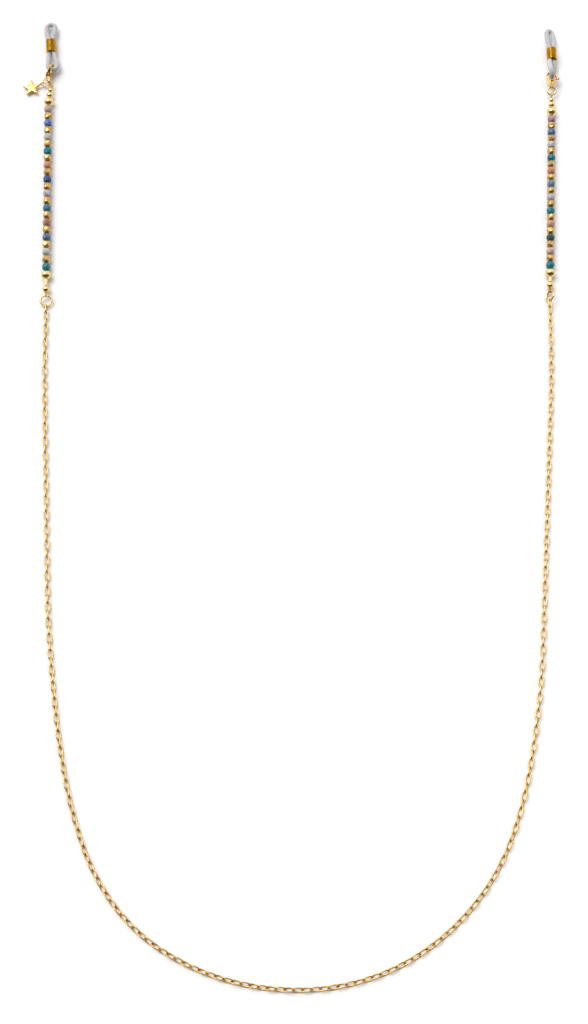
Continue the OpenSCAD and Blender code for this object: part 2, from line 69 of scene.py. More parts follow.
# Light and dark tint of each stone, and how much light it lets through
TINTS = {
    "blush": ((0.58, 0.44, 0.40), (0.40, 0.29, 0.27), 0.12),
    "cornflower": ((0.13, 0.26, 0.58), (0.05, 0.08, 0.30), 0.05),
    "mist": ((0.66, 0.65, 0.61), (0.44, 0.45, 0.44), 0.2),
    "teal": ((0.0, 0.27, 0.38), (0.0, 0.12, 0.17), 0.05),
    "coral": ((0.70, 0.34, 0.19), (0.48, 0.20, 0.11), 0.08),
    "navy": ((0.03, 0.09, 0.25), (0.01, 0.03, 0.09), 0.05),
    "lilac": ((0.66, 0.60, 0.66), (0.46, 0.40, 0.46), 0.18),
    "steel": ((0.08, 0.22, 0.36), (0.03, 0.11, 0.18), 0.05),
    "rose": ((0.52, 0.25, 0.16), (0.34, 0.15, 0.09), 0.08),
    "denim": ((0.13, 0.24, 0.44), (0.05, 0.10, 0.22), 0.05),
    "lagoon": ((0.02, 0.26, 0.33), (0.0, 0.11, 0.14), 0.05),
    "pink": ((0.54, 0.34, 0.40), (0.36, 0.21, 0.27), 0.1),
    "slate": ((0.18, 0.30, 0.42), (0.08, 0.15, 0.23), 0.05),
    "peach": ((0.70, 0.42, 0.26), (0.50, 0.27, 0.16), 0.1),
    "forest": ((0.06, 0.14, 0.12), (0.02, 0.04, 0.03), 0.05),
    "petal": ((0.74, 0.54, 0.45), (0.50, 0.35, 0.29), 0.12),
}
STONE_GROUPS = ("teal", "blue", "coral", "lilac", "blush")


# ---------------------------------------------------------------- settings

def tint(name, description, default):
    """A colour setting."""
    return bpy.props.FloatVectorProperty(
        name=name, description=description, default=default, subtype="COLOR", min=0, max=1)


def length(name, description, millimetres):
    """A length setting."""
    return bpy.props.FloatProperty(
        name=name, description=description, default=millimetres * MM, unit="LENGTH", min=0)


def share(name, description, default):
    """A setting from 0 to 1."""
    return bpy.props.FloatProperty(
        name=name, description=description, default=default, subtype="FACTOR", min=0, max=1)


class GoldSettings(bpy.types.PropertyGroup):
    """Colours and finish of the gold-plated pieces."""

    chain: tint("Chain", "Gold of the links and rings", (0.78, 0.50, 0.15))
    bead: tint("Beads", "Gold of the round beads", (0.90, 0.66, 0.29))
    nugget: tint("Nuggets", "Gold of the cut nuggets", (0.74, 0.48, 0.18))
    clasp: tint("Clasps", "Gold of the clasps", (0.82, 0.56, 0.21))
    coil: tint("Coils", "Deep gold of the coils", (0.70, 0.38, 0.03))
    polish: share("Polish roughness", "Roughness of the polished gold", 0.16)
    seam: length("Ring seam", "Gap where a jump ring's two ends meet", 0.06)


class StoneSettings(bpy.types.PropertyGroup):
    """Cut and finish of the stones and nuggets."""

    sides: bpy.props.IntProperty(
        name="Facets round", description="Facets round a stone", default=9, min=5, max=16)
    jitter: share("Uneven cut", "How uneven the facets of a stone are", 0.05)
    nugget_jitter: share("Uneven nugget", "How uneven the facets of a nugget are", 0.12)
    edge: length("Edge", "Width of the softened edge between two facets", 0.05)


class LoopSettings(bpy.types.PropertyGroup):
    """Finish of the soft temple loops and their coils."""

    silicone: tint("Silicone", "Colour of the milky silicone", (0.59, 0.585, 0.59))
    transmission: share("Clearness", "How much light the silicone lets through", 0.04)
    turns: bpy.props.IntProperty(
        name="Coil turns", description="Turns of wire in a coil", default=11, min=6, max=16)


class StageSettings(bpy.types.PropertyGroup):
    """Floor, light and camera."""

    floor: tint("Floor", "Colour of the floor", (0.97, 0.97, 0.97))
    key: bpy.props.FloatProperty(
        name="Key light", description="Strength of the soft key light", default=1.75, min=0)
    height: length("Camera distance", "Distance from the camera to what it looks at", 500)
    tilt: bpy.props.FloatProperty(
        name="Camera elevation", description="Camera's angle above the horizon",
        default=math.radians(70), subtype="ANGLE")
    lens: bpy.props.FloatProperty(
        name="Lens", description="Focal length in millimetres", default=52.73, min=10)


# ---------------------------------------------------------------- shader maths

class Value:
    """A socket of a material's nodes, so that its maths can be written as an expression."""

    def __init__(self, shader, socket):
        self.shader = shader
        self.socket = socket

    def maths(self, operation, first, second):
        node = self.shader.node("ShaderNodeMath", {"operation": operation}, {0: first, 1: second})
        return self.shader.out(node)

    def __add__(self, other):
        return self.maths("ADD", self, other)

    def __sub__(self, other):
        return self.maths("SUBTRACT", self, other)

    def __rsub__(self, other):
        return self.maths("SUBTRACT", other, self)

    def __mul__(self, other):
        return self.maths("MULTIPLY", self, other)

    __radd__ = __add__
    __rmul__ = __mul__


class Shader:
    """A material with one Principled shader."""

    def __init__(self, name, **constants):
        self.material = bpy.data.materials.new(name)
        self.material.use_nodes = True
        self.nodes = self.material.node_tree.nodes
        self.links = self.material.node_tree.links
        self.surface = self.nodes["Principled BSDF"]
        for socket, value in constants.items():
            self.surface.inputs[socket.replace("_", " ")].default_value = value
        coordinates = self.node("ShaderNodeTexCoord")
        self.place = self.out(coordinates, "Object")

    def node(self, kind, settings=None, sockets=None):
        """A node of a type, with its settings set first and then its sockets' values or links."""
        made = self.nodes.new(kind)
        for name, value in (settings or {}).items():
            setattr(made, name, value)
        for name, value in (sockets or {}).items():
            if isinstance(value, Value):
                self.links.new(value.socket, made.inputs[name])
            else:
                made.inputs[name].default_value = value
        return made

    def out(self, node, name=0):
        """A node's output as a value."""
        return Value(self, node.outputs[name])

    def noise(self, per_mm, detail=3.0, roughness=0.5, distortion=0.0):
        """Soft noise from 0 to 1, with so many spots in a millimetre."""
        node = self.node("ShaderNodeTexNoise", None, {
            "Vector": self.place, "Scale": per_mm / MM, "Detail": detail,
            "Roughness": roughness, "Distortion": distortion})
        return self.out(node, "Fac")

    def cells(self, per_mm):
        """Distance to the nearest edge between scattered cells."""
        node = self.node("ShaderNodeTexVoronoi", {"feature": "DISTANCE_TO_EDGE"},
                         {"Vector": self.place, "Scale": per_mm / MM})
        return self.out(node, "Distance")

    def spread(self, value, low, high):
        """A value stretched so that low is 0 and high is 1, and kept between them."""
        node = self.node("ShaderNodeMapRange", {"clamp": True},
                         {"Value": value, "From Min": low, "From Max": high})
        return self.out(node)

    def mix(self, amount, first, second):
        """A colour between two others."""
        node = self.node("ShaderNodeMix", {"data_type": "RGBA"},
                         {"Factor": amount, 6: solid(first), 7: solid(second)})
        return self.out(node, 2)

    def bump(self, height, depth_mm, strength=1.0):
        """A normal from a height."""
        node = self.node("ShaderNodeBump", None, {
            "Strength": strength, "Distance": depth_mm * MM, "Height": height})
        return self.out(node, "Normal")

    def feed(self, socket, value):
        """Links a value to the surface."""
        self.links.new(value.socket, self.surface.inputs[socket])


def solid(colour):
    """A colour with its alpha, or a value as it is."""
    return colour if isinstance(colour, Value) else (*colour, 1.0)


def darker(colour, by):
    """A deeper tint of a colour, which keeps more of its red."""
    powers = (1.0, 1.25, 1.7)
    return tuple(part * by ** power for part, power in zip(colour, powers))


# ---------------------------------------------------------------- materials

def gold(name, colour, roughness, wear=0.3, tarnish=0.72):
    """Gold plate: patches of a deeper tone, fine polishing marks and small dents."""
    shader = Shader(name, Metallic=1.0)
    patches = shader.spread(shader.noise(0.9, 4.0, 0.6), 0.35, 0.72)
    marks = shader.noise(14.0, 2.0, 0.7, 0.6)
    shader.feed("Base Color", shader.mix(patches, colour, darker(colour, tarnish)))
    shader.feed("Roughness", roughness * (0.7 + marks * 0.6) + patches * 0.06)
    shader.feed("Normal", shader.bump(marks * 0.4 + shader.noise(3.0), 0.02, wear))
    return shader.material


def braided(name, colour, roughness):
    """Gold-coated cable, with the strands' twist and painted shade in the grooves between the strands."""
    shader = Shader(name, Metallic=1.0)
    wave = shader.node("ShaderNodeTexWave", {"bands_direction": "DIAGONAL"},
                       {"Vector": shader.place, "Scale": 3.0 / MM, "Distortion": 0.4})
    twist_and_groove_shade = shader.out(wave, "Fac")
    # The darker bands of the twist are painted shade in the grooves between strands, not a colour of the coat
    shader.feed("Base Color", shader.mix(twist_and_groove_shade, darker(colour, 0.55), colour))
    shader.feed("Roughness", roughness + twist_and_groove_shade * 0.1)
    shader.feed("Normal", shader.bump(twist_and_groove_shade, 0.04, 0.6))
    return shader.material


def stone(name, light, dark, clarity):
    """Polished stone with clouds, pale flecks and a few fine veins."""
    shader = Shader(name, Transmission_Weight=clarity, IOR=1.54, Specular_IOR_Level=0.3,
                    Coat_Weight=0.08, Coat_Roughness=0.05)
    clouds = shader.spread(shader.noise(0.55, 4.0, 0.6, 0.8), 0.36, 0.66)
    veins = 1 - shader.spread(shader.cells(0.9), 0.0, 0.07)
    flecks = shader.spread(shader.noise(4.0, 2.0), 0.62, 0.75)
    body = shader.mix(clouds, dark, light)
    pale = tuple(0.5 * part + 0.45 for part in light)
    body = shader.mix(flecks * 0.14, body, pale)
    shader.feed("Base Color", shader.mix(veins * 0.25, body, darker(dark, 0.8)))
    shader.feed("Roughness", 0.1 + flecks * 0.12 + clouds * 0.05)
    shader.feed("Normal", shader.bump(shader.noise(6.0), 0.01, 0.25))
    return shader.material


def silicone(name, colour, transmission):
    """Milky soft silicone with a faint cloud and a satin skin."""
    shader = Shader(name, Transmission_Weight=transmission, IOR=1.41, Specular_IOR_Level=0.25,
                    Subsurface_Weight=0.7, Subsurface_Scale=MM)
    cloud = shader.spread(shader.noise(0.35, 3.0), 0.3, 0.7)
    shader.feed("Base Color", shader.mix(cloud, colour, tuple(0.9 * part for part in colour)))
    shader.feed("Roughness", 0.5 + shader.noise(5.0) * 0.14)
    shader.feed("Normal", shader.bump(shader.noise(2.2, 2.0), 0.02, 0.25))
    return shader.material


def plain_floor(name, colour):
    """Matt paper, with a grain too fine to colour it."""
    shader = Shader(name, Specular_IOR_Level=0.1)
    grain = shader.noise(1.5)
    shader.feed("Base Color", shader.mix(grain, colour, tuple(0.995 * part for part in colour)))
    shader.feed("Roughness", 0.8 + grain * 0.1)
    return shader.material


# ---------------------------------------------------------------- places from the frame

class Solid:
    """One solid of a CAD node: its middle, its long, wide and thin axes, and its half sizes, in mm."""

    def __init__(self, corners):
        one, two, three = corners[:, 0], corners[:, 1], corners[:, 2]
        area = np.linalg.norm(np.cross(two - one, three - one), axis=1) / 2
        self.centre = np.average(corners.mean(axis=1), axis=0, weights=area)
        rays = corners - self.centre
        total = rays.sum(axis=1)
        spread = np.einsum("t,tci,tcj->ij", area, rays, rays) + np.einsum("t,ti,tj->ij", area, total, total)
        self.axes = np.linalg.eigh(spread)[1].T[::-1]
        reach = rays.reshape(-1, 3) @ self.axes.T
        self.half = (reach.max(axis=0) - reach.min(axis=0)) / 2
        self.points = corners.reshape(-1, 3)


def solids(node):
    """The solids of a CAD node, found by which triangles share a corner."""
    mesh = frame["nodes"][node].data
    mesh.calc_loop_triangles()
    points = np.empty(len(mesh.vertices) * 3)
    mesh.vertices.foreach_get("co", points)
    points = points.reshape(-1, 3) / MM
    triangles = np.empty(len(mesh.loop_triangles) * 3, int)
    mesh.loop_triangles.foreach_get("vertices", triangles)
    weld = 1e-4
    home = np.unique(np.round(points / weld).astype(int), axis=0, return_inverse=True)[1].reshape(-1)
    triangles = triangles.reshape(-1, 3)
    corners = home[triangles]
    label = np.arange(home.max() + 1)
    while True:
        low = label[corners].min(axis=1)
        found = label.copy()
        for column in corners.T:
            np.minimum.at(found, column, low)
        found = found[found]
        if (found == label).all():
            break
        label = found
    owner = label[corners[:, 0]]
    return [Solid(points[triangles[owner == one]]) for one in np.unique(owner)]


def unit(vector):
    """A vector made one long."""
    return np.asarray(vector, float) / np.linalg.norm(vector)


def across(vector, along):
    """The part of a vector that is square to another, made one long."""
    return unit(vector - np.dot(vector, along) * along)


def joint_point(name):
    """Where a joint turns, in mm."""
    return np.array(JOINTS[name]["pos_m"]) / MM


def axes_from(along, near):
    """Three axes: one along a direction, the next as near as it can be to another."""
    x = unit(along)
    y = across(np.asarray(near, float), x)
    return np.array([x, y, np.cross(x, y)])


# ---------------------------------------------------------------- mesh building

class Shape:
    """The vertices and faces of a piece, gathered part by part, in mm."""

    def __init__(self):
        self.points = []
        self.faces = []
        self.kinds = []
        self.count = 0

    def add(self, part, centre=(0, 0, 0), axes=None, kind=0):
        """Adds a part, given as its points and faces, at a place."""
        points, faces = part
        points = np.asarray(points, float)
        if axes is not None:
            points = points @ np.asarray(axes)
        self.points.append(points + np.asarray(centre))
        self.faces += [tuple(corner + self.count for corner in face) for face in faces]
        self.kinds += [kind] * len(faces)
        self.count += len(points)

    def piece(self, name, body, node, slot, materials, smooth=True):
        """Makes the piece, which rides on a body and stands for a CAD node."""
        mesh = bpy.data.meshes.new(name)
        mesh.from_pydata((np.vstack(self.points) * MM).tolist(), [], self.faces)
        for material in materials:
            mesh.materials.append(material)
        mesh.polygons.foreach_set("material_index", self.kinds)
        mesh.polygons.foreach_set("use_smooth", [smooth] * len(self.faces))
        mesh.validate()
        made = bpy.data.objects.new(name, mesh)
        bpy.context.scene.collection.objects.link(made)
        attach(made, body)
        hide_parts(node)
        return made


def soften(piece, width_mm, segments=2, angle=25):
    """Rounds a piece's sharp edges."""
    bevel = piece.modifiers.new("soft_edges", "BEVEL")
    bevel.width = width_mm * MM
    bevel.segments = segments
    bevel.limit_method = "ANGLE"
    bevel.angle_limit = math.radians(angle)
    bevel.harden_normals = True


def turns(count, start=0.0, stop=2 * math.pi, closed=True):
    """Angles spread over a stretch, without the last one where it meets the first."""
    return np.linspace(start, stop, count, endpoint=not closed)


def rows_to_faces(rows, sides, closed):
    """The four-sided faces between rows of points, each row a ring."""
    faces = []
    for row in range(rows if closed else rows - 1):
        here, there = row * sides, (row + 1) % rows * sides
        for side in range(sides):
            after = (side + 1) % sides
            faces.append((here + side, here + after, there + after, there + side))
    return faces


def sweep(path, radius, sides=16, closed=False, up=None, domed=False):
    """A tube along a path. The radius is one number, or a pair (across, up) for each point."""
    path = np.asarray(path, float)
    count = len(path)
    if closed:
        tangent = np.roll(path, -1, axis=0) - np.roll(path, 1, axis=0)
    else:
        tangent = np.gradient(path, axis=0)
    tangent /= np.linalg.norm(tangent, axis=1)[:, None]
    radius = np.broadcast_to(np.asarray(radius, float), (count, 2)) if np.ndim(radius) != 2 else radius
    if up is None:
        up = across(np.eye(3)[np.abs(tangent[0]).argmin()], tangent[0])
    ups = np.empty_like(path)
    for i in range(count):
        up = across(up, tangent[i])
        ups[i] = up
    angle = turns(sides)
    if closed:
        end = across(ups[-1], tangent[0])
        slip = math.atan2(np.dot(np.cross(end, ups[0]), tangent[0]), np.dot(end, ups[0]))
    else:
        slip = 0.0
    lag = slip * np.arange(count)[:, None] / count
    side = np.cross(tangent, ups)
    flat = np.cos(angle - lag) * radius[:, :1]
    high = np.sin(angle - lag) * radius[:, 1:]
    rings = path[:, None] + side[:, None] * flat[..., None] + ups[:, None] * high[..., None]
    if not closed and domed:
        rings = np.concatenate([
            cap_rings(path[0], rings[0], -tangent[0]), rings,
            cap_rings(path[-1], rings[-1], tangent[-1])[::-1]])
    faces = rows_to_faces(len(rings), sides, closed)
    if not closed:
        last = (len(rings) - 1) * sides
        faces.append(tuple(range(sides))[::-1])
        faces.append(tuple(range(last, last + sides)))
    return rings.reshape(-1, 3), faces


def cap_rings(middle, ring, outward, steps=4):
    """Rings that close a tube's end with a dome, from its tip to the tube."""
    depth = np.linalg.norm(ring - middle, axis=1).mean()
    made = []
    for step in range(1, steps + 1):
        angle = step / (steps + 1) * math.pi / 2
        made.append(middle + (ring - middle) * math.sin(angle) + outward * depth * math.cos(angle))
    return np.array(made)


def lathe(profile, sides=32):
    """A closed outline of (along, out) points turned about the X axis."""
    profile = np.asarray(profile, float)
    angle = turns(sides)
    rings = np.empty((len(profile), sides, 3))
    rings[..., 0] = profile[:, :1]
    rings[..., 1] = profile[:, 1:] * np.cos(angle)
    rings[..., 2] = profile[:, 1:] * np.sin(angle)
    return rings.reshape(-1, 3), rows_to_faces(len(profile), sides, True)


def ball(radius, hole=0.0, sides=36, steps=22, lip=0.12):
    """A round bead with a hole along X and a rounded lip at each end of it."""
    start = math.asin(min(1.0, (hole + lip) / radius))
    angle = turns(steps, math.pi - start, start, closed=False)
    outer = [(radius * math.cos(a), radius * math.sin(a)) for a in angle]
    reach = radius * math.cos(start)
    lips = [(reach - lip * 0.35, hole + lip * 0.3), (reach - lip, hole)]
    return lathe(outer + lips + [(-x, y) for x, y in lips[::-1]], sides)


def faceted(rows, sides, jitter, chance):
    """A cut bead: rings of points turned by half a step from row to row, and a hole."""
    rings = []
    for number, (along, out, loose) in enumerate(rows):
        ring = []
        for side in range(sides):
            wobble = loose * jitter
            angle = 2 * math.pi * (side + 0.5 * (number % 2) + chance.uniform(-1, 1) * wobble * 1.5) / sides
            r = out * (1 + chance.uniform(-1.2, 0) * wobble)
            x = along + chance.uniform(-1, 1) * wobble * 0.9
            ring.append((x, r * math.cos(angle), r * math.sin(angle)))
        rings.append(ring)
    faces = []
    count = len(rows)
    for row in range(count):
        here, there = row * sides, (row + 1) % count * sides
        shifted = row % 2
        for side in range(sides):
            after = (side + 1) % sides
            if row == count - 1:
                faces.append((here + side, here + after, there + after, there + side))
            elif shifted:
                faces.append((here + side, here + after, there + after))
                faces.append((here + side, there + after, there + side))
            else:
                faces.append((here + side, there + side, here + after)[::-1])
                faces.append((here + after, there + side, there + after)[::-1])
    return np.array(rings).reshape(-1, 3), faces


def plate(outline, thickness):
    """A flat outline given a thickness."""
    outline = np.asarray(outline, float)
    count = len(outline)
    low = np.column_stack([outline, np.full(count, -thickness / 2)])
    high = np.column_stack([outline, np.full(count, thickness / 2)])
    faces = [tuple(range(count))[::-1], tuple(range(count, 2 * count))]
    for i in range(count):
        j = (i + 1) % count
        faces.append((i, j, count + j, count + i))
    return np.vstack([low, high]), faces


def arc(centre, radius, start, stop, count):
    """Points along an arc, by angles in degrees."""
    angle = np.radians(np.linspace(start, stop, count))
    return np.column_stack([centre[0] + radius * np.cos(angle), centre[1] + radius * np.sin(angle)])


def in_plane(flat_points):
    """Points in a plane as points in space."""
    flat_points = np.asarray(flat_points, float)
    return np.column_stack([flat_points, np.zeros(len(flat_points))])


# ---------------------------------------------------------------- chain

def link_shape(size):
    """A chain link: an oval of round wire with squarish ends and a soldered joint on one side."""
    half_long, half_wide, half_wire = size
    wire = half_wire * 2
    bend = 2.7
    path = []
    for angle in turns(52):
        c, s = math.cos(angle), math.sin(angle)
        path.append((
            (half_long - half_wire) * math.copysign(abs(c) ** (2 / bend), c),
            (half_wide - half_wire) * math.copysign(abs(s) ** (2 / bend), s), 0.0))
    path = np.array(path)
    solder = np.exp(-((path[:, 0] / 0.16) ** 2)) * (path[:, 1] > 0)
    radius = wire / 2 * (1 - 0.07 * solder)
    return sweep(path, np.column_stack([radius, radius]), 12, closed=True, up=(0, 0, 1))


class CHAIN_OT_links(bpy.types.Operator):
    """Make the links of the chain"""

    bl_idname = "eyeglasses_chain.links"
    bl_label = "Chain links"

    def execute(self, context):
        settings = context.scene.eyeglasses_gold
        metal = gold("chain_gold_plate", settings.chain, settings.polish, 0.25, 0.62)
        names = ["chain_middle"] + [f"chain_{side}_{run}" for side in SIDES for run in range(1, RUNS + 1)]
        for name in names:
            links = solids(name)
            shape = Shape()
            part = link_shape(np.mean([link.half for link in links], axis=0))
            for link in links:
                shape.add(part, link.centre, link.axes)
            shape.piece(name + "_links", name, name, "chain_gold", [metal])
        return {"FINISHED"}


# ---------------------------------------------------------------- rings

# How far each end of a jump ring stands off its plane
SEAM_OFFSET = 0.03


def jump_ring(shape, ring, seam, seam_towards):
    """A ring bent from wire, whose two ends meet at a seam."""
    wire = ring.half[2] * 2
    radius = ring.half[0] - wire / 2
    normal = ring.axes[2]
    axes = axes_from(across(np.asarray(seam_towards, float), normal), np.cross(normal, seam_towards))
    half_gap = seam / MM / radius / 2
    angle = np.linspace(half_gap, 2 * math.pi - half_gap, 72)
    offset = SEAM_OFFSET * np.cos(angle / 2)
    path = np.column_stack([radius * np.cos(angle), radius * np.sin(angle), offset])
    shape.add(sweep(path, wire / 2, 18, up=(0, 0, 1)), ring.centre, axes)


# Node, body and the way that the seam faces
RINGS = (
    ("left_end_ring", "left_end_ring", (1, 0.4, 0)),
    ("right_end_ring", "right_end_ring", (-1, 0.5, 0)),
    ("left_clasp_ring", "left_clasp_ring", (-0.4, -1, 0.2)),
    ("right_clasp_ring", "right_clasp_ring", (-1, -0.3, 0)),
    ("star_ring", "star_ring", (0.2, -1, 0)),
)


class CHAIN_OT_rings(bpy.types.Operator):
    """Make the jump rings"""

    bl_idname = "eyeglasses_chain.rings"
    bl_label = "Jump rings"

    def execute(self, context):
        settings = context.scene.eyeglasses_gold
        metal = gold("ring_gold_plate", settings.bead, settings.polish, 0.2)
        for node, body, seam_towards in RINGS:
            shape = Shape()
            jump_ring(shape, solids(node)[0], settings.seam, seam_towards)
            made = shape.piece(node + "_wire", body, node, "chain_gold", [metal])
            soften(made, 0.04, 2, 60)
        return {"FINISHED"}


# ---------------------------------------------------------------- beads

# Radius of the hole for the beading wire
BEAD_HOLE_R = 0.27


def strand_axes(side):
    """The directions of a strand's long part and of its top part, towards the clasp."""
    stones = strand_stones(side)
    top = solids(f"{side}_small_bead")[0].centre - solids(f"{side}_medium_bead")[0].centre
    return unit(stones[0][1].centre - stones[-1][1].centre), unit(top)


def strand_stones(side):
    """Each stone of a strand, from the clasp down, with the CAD node that it is in."""
    found = [(group, one) for group in STONE_GROUPS for one in solids(f"{side}_{group}_beads")]
    return sorted(found, key=lambda pair: -pair[1].centre[1])


def bead_size(one, along):
    """Length along the strand and diameter of a bead."""
    rays = one.points - one.centre
    reach = rays @ along
    out = np.linalg.norm(rays - reach[:, None] * along, axis=1)
    return reach.max() - reach.min(), out.max() * 2


class CHAIN_OT_round_beads(bpy.types.Operator):
    """Make the polished round beads of both ends"""

    bl_idname = "eyeglasses_chain.round_beads"
    bl_label = "Round beads"

    def execute(self, context):
        settings = context.scene.eyeglasses_gold
        metal = gold("bead_gold_plate", settings.bead, settings.polish * 0.6, 0.12, 0.85)
        for side in SIDES:
            low, top = strand_axes(side)
            kinds = {"large_beads": top, "medium_bead": top, "small_bead": top, "crimp_cover": low}
            for kind, along in kinds.items():
                node = f"{side}_{kind}"
                shape = Shape()
                for one in solids(node):
                    diameter = bead_size(one, along)[1]
                    shape.add(ball(diameter / 2, BEAD_HOLE_R), one.centre, axes_from(along, (0, 0, 1)))
                    if kind == "crimp_cover":
                        self.add_lip(shape, one, along, diameter)
                shape.piece(node + "_polished", f"{side}_strand", node, "bead_gold", [metal])
        return {"FINISHED"}

    def add_lip(self, shape, one, along, diameter):
        """The seam where the cover bead was closed over the crimp."""
        path = in_plane(arc((0, 0), diameter / 2 - 0.02, 28, 152, 20))
        shape.add(sweep(path, 0.05, 8, domed=True), one.centre, axes_from(along, (0.5, 0, 0.6)))


class CHAIN_OT_nuggets(bpy.types.Operator):
    """Make the cut gold nuggets of both ends"""

    bl_idname = "eyeglasses_chain.nuggets"
    bl_label = "Gold nuggets"

    def execute(self, context):
        settings = context.scene.eyeglasses_gold
        cut = context.scene.eyeglasses_stones
        metal = gold("nugget_gold_plate", settings.nugget, settings.polish * 1.6, 0.45, 0.42)
        chance = random.Random(7)
        for side in SIDES:
            along = strand_axes(side)[0]
            node = f"{side}_gold_nuggets"
            shape = Shape()
            for one in solids(node):
                size, diameter = bead_size(one, along)
                x, r = size / 2, diameter / 2
                rows = ((-x, BEAD_HOLE_R, 0), (-x, r * 0.62, 0.3), (-x * 0.55, r * 0.95, 1), (0, r, 1),
                        (x * 0.55, r * 0.95, 1), (x, r * 0.62, 0.3), (x, BEAD_HOLE_R, 0))
                part = faceted(rows, 7, cut.nugget_jitter, chance)
                shape.add(part, one.centre, axes_from(along, (chance.uniform(-1, 1), 0, 1)))
            made = shape.piece(node + "_cut", f"{side}_strand", node, "bead_gold", [metal], smooth=False)
            soften(made, cut.edge / MM, 2, 8)
        return {"FINISHED"}


class CHAIN_OT_stones(bpy.types.Operator):
    """Make the cut stones of both ends"""

    bl_idname = "eyeglasses_chain.stones"
    bl_label = "Stones"

    def execute(self, context):
        cut = context.scene.eyeglasses_stones
        chance = random.Random(11)
        finishes = {name: stone(f"{name}_stone", *tints) for name, tints in TINTS.items()}
        for side in SIDES:
            along = strand_axes(side)[0]
            shapes = {group: Shape() for group in STONE_GROUPS}
            used = {group: [] for group in STONE_GROUPS}
            for (group, one), name in zip(strand_stones(side), STONES[side]):
                size, diameter = bead_size(one, along)
                x, r = size / 2, diameter / 2
                rows = ((-x, 0.28, 0), (-x, r * 0.42, 0.2), (-x * 0.66, r * 0.84, 1), (0, r, 1),
                        (x * 0.66, r * 0.84, 1), (x, r * 0.42, 0.2), (x, 0.28, 0))
                if finishes[name] not in used[group]:
                    used[group].append(finishes[name])
                part = faceted(rows, cut.sides, cut.jitter, chance)
                shapes[group].add(part, one.centre, axes_from(along, (chance.uniform(-1, 1), 0, 1)),
                                  used[group].index(finishes[name]))
            for group in STONE_GROUPS:
                node = f"{side}_{group}_beads"
                made = shapes[group].piece(node + "_cut", f"{side}_strand", node, f"{group}_glass",
                                           used[group], smooth=False)
                soften(made, cut.edge / MM, 2, 8)
        return {"FINISHED"}


class CHAIN_OT_wires(bpy.types.Operator):
    """Finish the beading wires, crimps and springs"""

    bl_idname = "eyeglasses_chain.wires"
    bl_label = "Wires and crimps"

    def execute(self, context):
        settings = context.scene.eyeglasses_gold
        cable = braided("cable_gold_coat", settings.chain, 0.25)
        crimp = gold("crimp_gold_plate", settings.bead, settings.polish, 0.3)
        steel = gold("spring_steel", (0.62, 0.60, 0.57), 0.3, 0.2, 0.8)
        for side in SIDES:
            for kind, finish in (("bead_wire", cable), ("crimp_tube", crimp), ("clasp_spring", steel)):
                materials = frame["nodes"][f"{side}_{kind}"].data.materials
                materials.clear()
                materials.append(finish)
        return {"FINISHED"}


# ---------------------------------------------------------------- clasps

# A clasp's own axes start in the middle of the claw, with X towards the hook and Y away from the thumb tab
CLAW_CENTRE = (0.35, 0.0)
CLAW_R = 1.775
PIVOT = (-1.6, -0.45)
TAIL_X = -4.1
THUMB_TAB = (-0.35, -2.25)
CHEEK_R = 1.45
CHEEK_THICK = 0.26
CHEEK_LEVEL = 0.6
RIB_R = 0.23
BACK_THICK = 1.05
EYE_R = 0.85
EYE_WIRE = 0.5


def clasp_place(side):
    """The middle of a clasp's claw and its axes."""
    pivot = solids(f"{side}_clasp_rivet")[0]
    thick = np.array(JOINTS[f"{side}_clasp_lever_press"]["axis"])
    claw = np.array(MOUNTS[f"{side}_clasp_claw"]["pos_m"]) / MM
    along = unit(claw - joint_point(f"{side}_clasp_swing"))
    along = across(along, thick)
    axes = np.array([along, np.cross(thick, along), thick])
    return pivot.centre - PIVOT[0] * axes[0] - PIVOT[1] * axes[1], axes


def clasp_body_parts():
    """The hook, and the two cheeks with their edge ribs and their back."""
    hook_angle = np.linspace(-34, 196, 44)
    hook = in_plane(arc(CLAW_CENTRE, CLAW_R, -34, 196, 44))
    grow = np.clip((hook_angle + 34) / 120, 0, 1)
    hook_size = np.column_stack([0.30 + 0.10 * grow, 0.40 + 0.2 * grow])
    parts = [sweep(hook, hook_size, 16, up=(0, 0, 1), domed=True)]
    near_side = [(-0.98, -1.12), (-1.75, -1.12), (-2.5, -0.8), (-3.3, -0.3)]
    far_side = [(-3.3, 0.3), (-2.6, 0.82), (-1.9, 1.2), (-1.05, 1.55)]
    notch = [(-2.75, 0.12)]
    cheek = np.vstack([arc(CLAW_CENTRE, CHEEK_R, 128, 160, 4), notch,
                       arc(CLAW_CENTRE, CHEEK_R, 203, 226, 4), near_side, far_side])
    for level in (-CHEEK_LEVEL, CHEEK_LEVEL):
        points, faces = plate(cheek, CHEEK_THICK)
        parts.append((points + (0, 0, level), faces))
        for edge in (near_side, far_side):
            rib = in_plane(edge) + (0, 0, 1.2 * level)
            parts.append(sweep(rib, RIB_R, 12, up=(0, 0, 1), domed=True))
    back = np.vstack([arc(CLAW_CENTRE, 1.47, 132, 152, 4),
                      [(-1.9, 0.72), (-2.4, 0.5), (-2.4, -0.7), (-3.3, -0.25), (-3.3, 0.25),
                       (-2.6, 0.78), (-1.9, 1.15), (-1.05, 1.5)]])
    parts.append(plate(back, BACK_THICK))
    return parts


